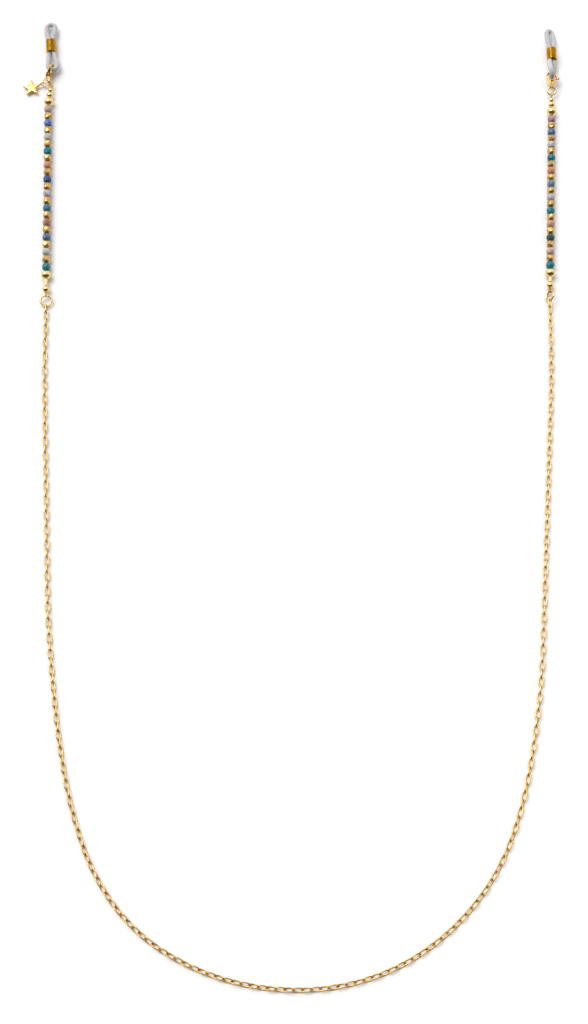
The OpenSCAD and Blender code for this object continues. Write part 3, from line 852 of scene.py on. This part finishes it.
class CHAIN_OT_clasps(bpy.types.Operator):
    """Make the lobster clasps"""

    bl_idname = "eyeglasses_chain.clasps"
    bl_label = "Clasps"

    def execute(self, context):
        settings = context.scene.eyeglasses_gold
        metal = gold("clasp_gold_plate", settings.clasp, settings.polish, 0.25, 0.66)
        for side in SIDES:
            centre, axes = clasp_place(side)
            self.make_body(side, centre, axes, metal)
            self.make_lever(side, centre, axes, metal)
            self.make_rivet(side, centre, axes, metal)
        return {"FINISHED"}

    def make_body(self, side, centre, axes, metal):
        shape = Shape()
        for part in clasp_body_parts():
            shape.add(part, centre, axes)
        eye = whole_ring(EYE_R, EYE_WIRE)
        shape.add(eye, centre + TAIL_X * axes[0], np.array([axes[0], axes[2], -axes[1]]))
        node = f"{side}_clasp_body"
        made = shape.piece(node + "_cast", f"{side}_clasp", node, "clasp_gold", [metal])
        soften(made, 0.08, 3, 40)

    def make_lever(self, side, centre, axes, metal):
        shape = Shape()
        path = np.vstack([arc(CLAW_CENTRE, CLAW_R, -41, -142, 24), [PIVOT]])
        thick = np.linspace(0.27, 0.36, len(path))
        size = np.column_stack([thick, np.full(len(path), 0.38)])
        shape.add(sweep(in_plane(path), size, 14, up=(0, 0, 1), domed=True), centre, axes)
        outline = [(0.5 * math.cos(a), 0.5 * math.sin(a))
                   for a in turns(14, 0.05, math.pi - 0.05, closed=False)]
        points, faces = lathe(outline, 20)
        tab_axes = axes_from(0.2 * axes[0] - axes[1], axes[0])
        place = centre + THUMB_TAB[0] * axes[0] + THUMB_TAB[1] * axes[1]
        shape.add((points * (1.1, 1.15, 0.85), faces), place, tab_axes)
        node = f"{side}_clasp_lever"
        shape.piece(node + "_cast", f"{side}_clasp_lever", node, "clasp_gold", [metal])

    def make_rivet(self, side, centre, axes, metal):
        shape = Shape()
        head = [(0.96, 0.02), (0.94, 0.16), (0.88, 0.28), (0.78, 0.3)]
        outline = head + [(-x, r) for x, r in head[::-1]]
        place = centre + PIVOT[0] * axes[0] + PIVOT[1] * axes[1]
        shape.add(lathe(outline, 20), place, axes_from(axes[2], axes[0]))
        node = f"{side}_clasp_rivet"
        shape.piece(node + "_domed", f"{side}_clasp", node, "clasp_gold", [metal])


def whole_ring(radius, wire):
    """A whole ring of round wire in the XY plane."""
    path = in_plane(arc((0, 0), radius, 0, 360, 41))[:-1]
    return sweep(path, wire / 2, 16, closed=True, up=(0, 0, 1))


# ---------------------------------------------------------------- temple loops

# Along a loop's own X axis, from the cord's middle in the clasp
CORD_R = 0.9
LOOP_LEN = 20.6
NEAR_EYE_R = 1.75
FAR_EYE_R = {"left": 1.6, "right": 1.25}
NECK_R = 0.62
NECK_Y = 0.65
MOUTH_R = 0.84
MOUTH_Y = 0.92
COIL_WIRE = 0.44
BOW = {"left": 0.5, "right": -0.4}
# Roll about that axis at seven places, from the clasp to the far end
ROLLS = {"left": (0, 0, 0, 0, 0, 0, 0), "right": (85, 54, 24, 18, 16, 18, 20)}


def loop_place(side):
    """The start of a temple loop and its axes, with Y level."""
    along = unit(JOINTS[f"{side}_coil_slide"]["axis"])
    level = across(np.array([-along[1], along[0], 0.0]), along)
    name = "left_silicone_loop_lift" if side == "left" else "right_silicone_loop_swing"
    return joint_point(name), np.array([along, level, np.cross(along, level)])


def loop_half(far_r, start, stop):
    """Half of the cord's middle line and its radius, pinched between two places by the coil."""
    eye = arc((NEAR_EYE_R, 0), NEAR_EYE_R, 180, 84, 12)
    far = arc((LOOP_LEN - far_r, 0), far_r, 88, 0, 14)
    middle = (start + stop) / 2
    pinch = [(start - 1.6, 1.12), (start - 0.3, MOUTH_Y), (start + 0.5, NECK_Y), (middle, NECK_Y),
             (stop - 0.5, NECK_Y), (stop + 0.3, MOUTH_Y), (stop + 1.6, 0.76 * far_r),
             (stop + 3.2, 0.95 * far_r)]
    corners = np.vstack([eye[-1:], pinch, far[:1]])
    steps = np.concatenate([np.linspace(corners[i], corners[i + 1], 8, endpoint=False)
                            for i in range(len(corners) - 1)])
    return np.vstack([eye[:-1], steps, far])


def loop_path(side, start, stop):
    """The cord's closed middle line, bowed sideways and rolled about its axis."""
    half = loop_half(FAR_EYE_R[side], start, stop)
    line = in_plane(np.vstack([half, (half * (1, -1))[-2:0:-1]]))
    for _ in range(8):
        line = (np.roll(line, 1, axis=0) + 2 * line + np.roll(line, -1, axis=0)) / 4
    x, y = line[:, 0], line[:, 1]
    rolls = ROLLS[side]
    roll = np.radians(np.interp(x, np.linspace(0, LOOP_LEN, len(rolls)), rolls))
    bow = BOW[side] * (1 - np.abs(2 * x / LOOP_LEN - 1) ** 3)
    return np.column_stack([x, bow + y * np.cos(roll), y * np.sin(roll)])


def cord_radius(x, start, stop):
    """The cord is squeezed where it goes through the coil."""
    places = (start - 2.5, start - 0.3, start + 0.6, stop - 0.6, stop + 0.3, stop + 2.5)
    return np.interp(x, places, (CORD_R, MOUTH_R, NECK_R, NECK_R, MOUTH_R, CORD_R))


class CHAIN_OT_loops(bpy.types.Operator):
    """Make the milky temple loops and their coils"""

    bl_idname = "eyeglasses_chain.loops"
    bl_label = "Temple loops"

    def execute(self, context):
        settings = context.scene.eyeglasses_gold
        soft = context.scene.eyeglasses_loops
        cord = silicone("clear_silicone", soft.silicone, soft.transmission)
        metal = gold("coil_gold_plate", settings.coil, settings.polish * 1.5, 0.3, 0.55)
        for side in SIDES:
            centre, axes = loop_place(side)
            coil = solids(f"{side}_coil")[0]
            middle = (coil.centre - centre) @ axes[0]
            half = bead_size(coil, axes[0])[0] / 2
            path = loop_path(side, middle - half, middle + half)
            radius = cord_radius(path[:, 0], middle - half, middle + half)
            shape = Shape()
            shape.add(sweep(path, np.column_stack([radius, radius]), 24, closed=True), centre, axes)
            node = f"{side}_silicone_loop"
            shape.piece(node + "_cord", node, node, "silicone", [cord])
            self.make_coil(side, coil, axes, soft.turns, metal)
        return {"FINISHED"}

    def make_coil(self, side, one, axes, count, metal):
        node = f"{side}_coil"
        size, diameter = bead_size(one, axes[0])
        wire = COIL_WIRE
        reach = size / 2 - wire / 2
        angle = np.linspace(0, 2 * math.pi * count, 30 * count + 1)
        along = np.linspace(-reach, reach, len(angle))
        radius = np.full(len(angle), (diameter - wire) / 2)
        path = np.column_stack([along, radius * np.cos(angle), radius * np.sin(angle)])
        shape = Shape()
        shape.add(sweep(path, wire / 2, 10, up=(1, 0, 0), domed=True), one.centre, axes)
        shape.piece(node + "_wire", node, node, "coil_gold", [metal])


# ---------------------------------------------------------------- star

STAR_R = 3.8
STAR_INNER_R = 1.6
STAR_THICK = 1.1
STAR_EYE_R = 0.66
STAR_EYE_WIRE = 0.36


class CHAIN_OT_star(bpy.types.Operator):
    """Make the star charm"""

    bl_idname = "eyeglasses_chain.star"
    bl_label = "Star charm"

    def execute(self, context):
        settings = context.scene.eyeglasses_gold
        metal = gold("star_gold_plate", settings.clasp, settings.polish * 1.9, 0.35, 0.7)
        one = solids("star_charm")[0]
        pivot = joint_point("star_charm_swing")
        normal = one.axes[2] * math.copysign(1, one.axes[2][2])
        along = across(one.centre - pivot, normal)
        axes = axes_from(along, np.cross(normal, along))
        reach = ((one.points - pivot) @ along).max()
        tip = STAR_R * math.cos(math.pi / 5)
        centre_x = reach - tip
        shape = Shape()
        shape.add(self.body(STAR_R, STAR_INNER_R, STAR_THICK), pivot + along * centre_x, axes)
        eye_x = centre_x - STAR_R * 0.93 - STAR_EYE_R
        eye = whole_ring(STAR_EYE_R, STAR_EYE_WIRE)
        shape.add(eye, pivot + along * eye_x, np.array([axes[0], axes[2], -axes[1]]))
        neck_x = np.linspace(eye_x + 0.5, centre_x - STAR_R * 0.7, 8)
        neck = np.column_stack([neck_x, np.zeros(8), np.zeros(8)])
        thick = np.linspace(0.2, 0.5, 8)
        size = np.column_stack([thick, thick * 0.9])
        shape.add(sweep(neck, size, 14, up=(0, 0, 1), domed=True), pivot, axes)
        shape.piece("star_charm_cast", "star_charm", "star_charm", "bead_gold", [metal])
        return {"FINISHED"}

    def body(self, outer, inner, thickness):
        """A five-pointed star with rounded edges and softly domed faces."""
        corners = [(outer if i % 2 == 0 else inner, math.pi + i * math.pi / 5) for i in range(10)]
        corners = np.array([(r * math.cos(a), r * math.sin(a)) for r, a in corners])
        outline = np.vstack([
            np.linspace(corners[i], corners[(i + 1) % 10], 12, endpoint=False) for i in range(10)])
        for _ in range(3):
            outline = (np.roll(outline, 1, axis=0) + outline * 2 + np.roll(outline, -1, axis=0)) / 4
        count = len(outline)
        steps = np.sin(np.linspace(0, math.pi / 2, 12))
        rings = []
        for step in steps[1:]:
            height = thickness / 2 * (0.72 + 0.28 * (1 - step)) * (1 - step ** 7) ** 0.5
            rings.append(np.column_stack([outline * step, np.full(count, height)]))
        lower = [ring * (1, 1, -1) for ring in rings[:-1]]
        rows = rings + lower[::-1]
        points = np.vstack(rows + [[(0, 0, thickness / 2)], [(0, 0, -thickness / 2)]])
        faces = rows_to_faces(len(rows), count, False)
        last = len(rows) * count
        for i in range(count):
            j = (i + 1) % count
            faces.append((last, j, i))
            faces.append((last + 1, last - count + i, last - count + j))
        return points, faces


# ---------------------------------------------------------------- stage

# Where the camera looks, in mm, its sensor's width in mm and its nearest distance in metres
LOOK_AT = (0.9, -22.1, 0)
SENSOR_WIDTH = 36
NEAREST = 0.01
# Half the floor's width in metres, and the key light's width in degrees and direction
FLOOR_HALF = 3.0
KEY_ANGLE = 45
KEY_WAY = (0.45, -0.35, -1)
# Place and brightness of the world's light, from the near side to the far side
WORLD_STOPS = ((0.0, 0.10), (0.42, 0.12), (0.56, 1.0), (1.0, 1.25))


class CHAIN_OT_stage(bpy.types.Operator):
    """Make the floor, the light and the camera"""

    bl_idname = "eyeglasses_chain.stage"
    bl_label = "Stage"

    def execute(self, context):
        settings = context.scene.eyeglasses_stage
        self.make_camera(context, settings)
        self.make_floor(settings)
        self.make_light(settings)
        self.make_world(context)
        context.scene.view_settings.view_transform = "Standard"
        return {"FINISHED"}

    def make_camera(self, context, settings):
        data = bpy.data.cameras.new("camera")
        data.lens = settings.lens
        data.sensor_width = SENSOR_WIDTH
        data.clip_start = NEAREST
        camera = bpy.data.objects.new("camera", data)
        target = Vector(LOOK_AT) * MM
        back = Vector((0, -math.cos(settings.tilt), math.sin(settings.tilt)))
        camera.location = target + back * settings.height
        camera.rotation_euler = (-back).to_track_quat("-Z", "Y").to_euler()
        context.scene.collection.objects.link(camera)
        context.scene.camera = camera

    def make_floor(self, settings):
        half = FLOOR_HALF
        corners = [(-half, -half, 0), (half, -half, 0), (half, half, 0), (-half, half, 0)]
        mesh = bpy.data.meshes.new("floor")
        mesh.from_pydata(corners, [], [(0, 1, 2, 3)])
        mesh.materials.append(plain_floor("pale_paper", settings.floor))
        floor = bpy.data.objects.new("floor", mesh)
        bpy.context.scene.collection.objects.link(floor)

    def make_light(self, settings):
        data = bpy.data.lights.new("key", "SUN")
        data.energy = settings.key
        data.angle = math.radians(KEY_ANGLE)
        key = bpy.data.objects.new("key", data)
        key.rotation_euler = Vector(KEY_WAY).to_track_quat("-Z", "Y").to_euler()
        bpy.context.scene.collection.objects.link(key)

    def make_world(self, context):
        world = bpy.data.worlds.new("studio")
        world.use_nodes = True
        context.scene.world = world
        nodes, links = world.node_tree.nodes, world.node_tree.links
        place = nodes.new("ShaderNodeTexCoord")
        split = nodes.new("ShaderNodeSeparateXYZ")
        links.new(place.outputs["Generated"], split.inputs[0])
        ramp = nodes.new("ShaderNodeValToRGB")
        while len(ramp.color_ramp.elements) < len(WORLD_STOPS):
            ramp.color_ramp.elements.new(0.5)
        for element, (position, level) in zip(ramp.color_ramp.elements, WORLD_STOPS):
            element.position = position
            element.color = (level, level, level, 1)
        shift = nodes.new("ShaderNodeMath")
        shift.operation = "MULTIPLY_ADD"
        shift.inputs[1].default_value = 0.5
        shift.inputs[2].default_value = 0.5
        links.new(split.outputs[1], shift.inputs[0])
        links.new(shift.outputs[0], ramp.inputs[0])
        links.new(ramp.outputs[0], nodes["Background"].inputs[0])


# ---------------------------------------------------------------- add-on

OPERATORS = (
    CHAIN_OT_stage, CHAIN_OT_links, CHAIN_OT_rings, CHAIN_OT_round_beads, CHAIN_OT_nuggets,
    CHAIN_OT_stones, CHAIN_OT_wires, CHAIN_OT_clasps, CHAIN_OT_loops, CHAIN_OT_star,
)
SETTINGS = {
    "eyeglasses_gold": GoldSettings,
    "eyeglasses_stones": StoneSettings,
    "eyeglasses_loops": LoopSettings,
    "eyeglasses_stage": StageSettings,
}


class CHAIN_PT_panel(bpy.types.Panel):
    """Lists the settings and the steps"""

    bl_idname = "CHAIN_PT_panel"
    bl_label = "Eyeglasses Chain"
    bl_space_type = "VIEW_3D"
    bl_region_type = "UI"
    bl_category = "Eyeglasses Chain"

    def draw(self, context):
        for name in SETTINGS:
            group = getattr(context.scene, name)
            box = self.layout.box()
            for setting in group.__annotations__:
                box.prop(group, setting)
        for operator in OPERATORS:
            self.layout.operator(operator.bl_idname)


def register():
    for group in SETTINGS.values():
        bpy.utils.register_class(group)
    for name, group in SETTINGS.items():
        setattr(bpy.types.Scene, name, bpy.props.PointerProperty(type=group))
    for one in (*OPERATORS, CHAIN_PT_panel):
        bpy.utils.register_class(one)


def unregister():
    for one in (CHAIN_PT_panel, *reversed(OPERATORS)):
        bpy.utils.unregister_class(one)
    for name, group in SETTINGS.items():
        delattr(bpy.types.Scene, name)
        bpy.utils.unregister_class(group)


def main():
    """Registers the add-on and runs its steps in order."""
    register()
    for operator in OPERATORS:
        group, name = operator.bl_idname.split(".")
        getattr(getattr(bpy.ops, group), name)()


if __name__ == "__main__":
    main()
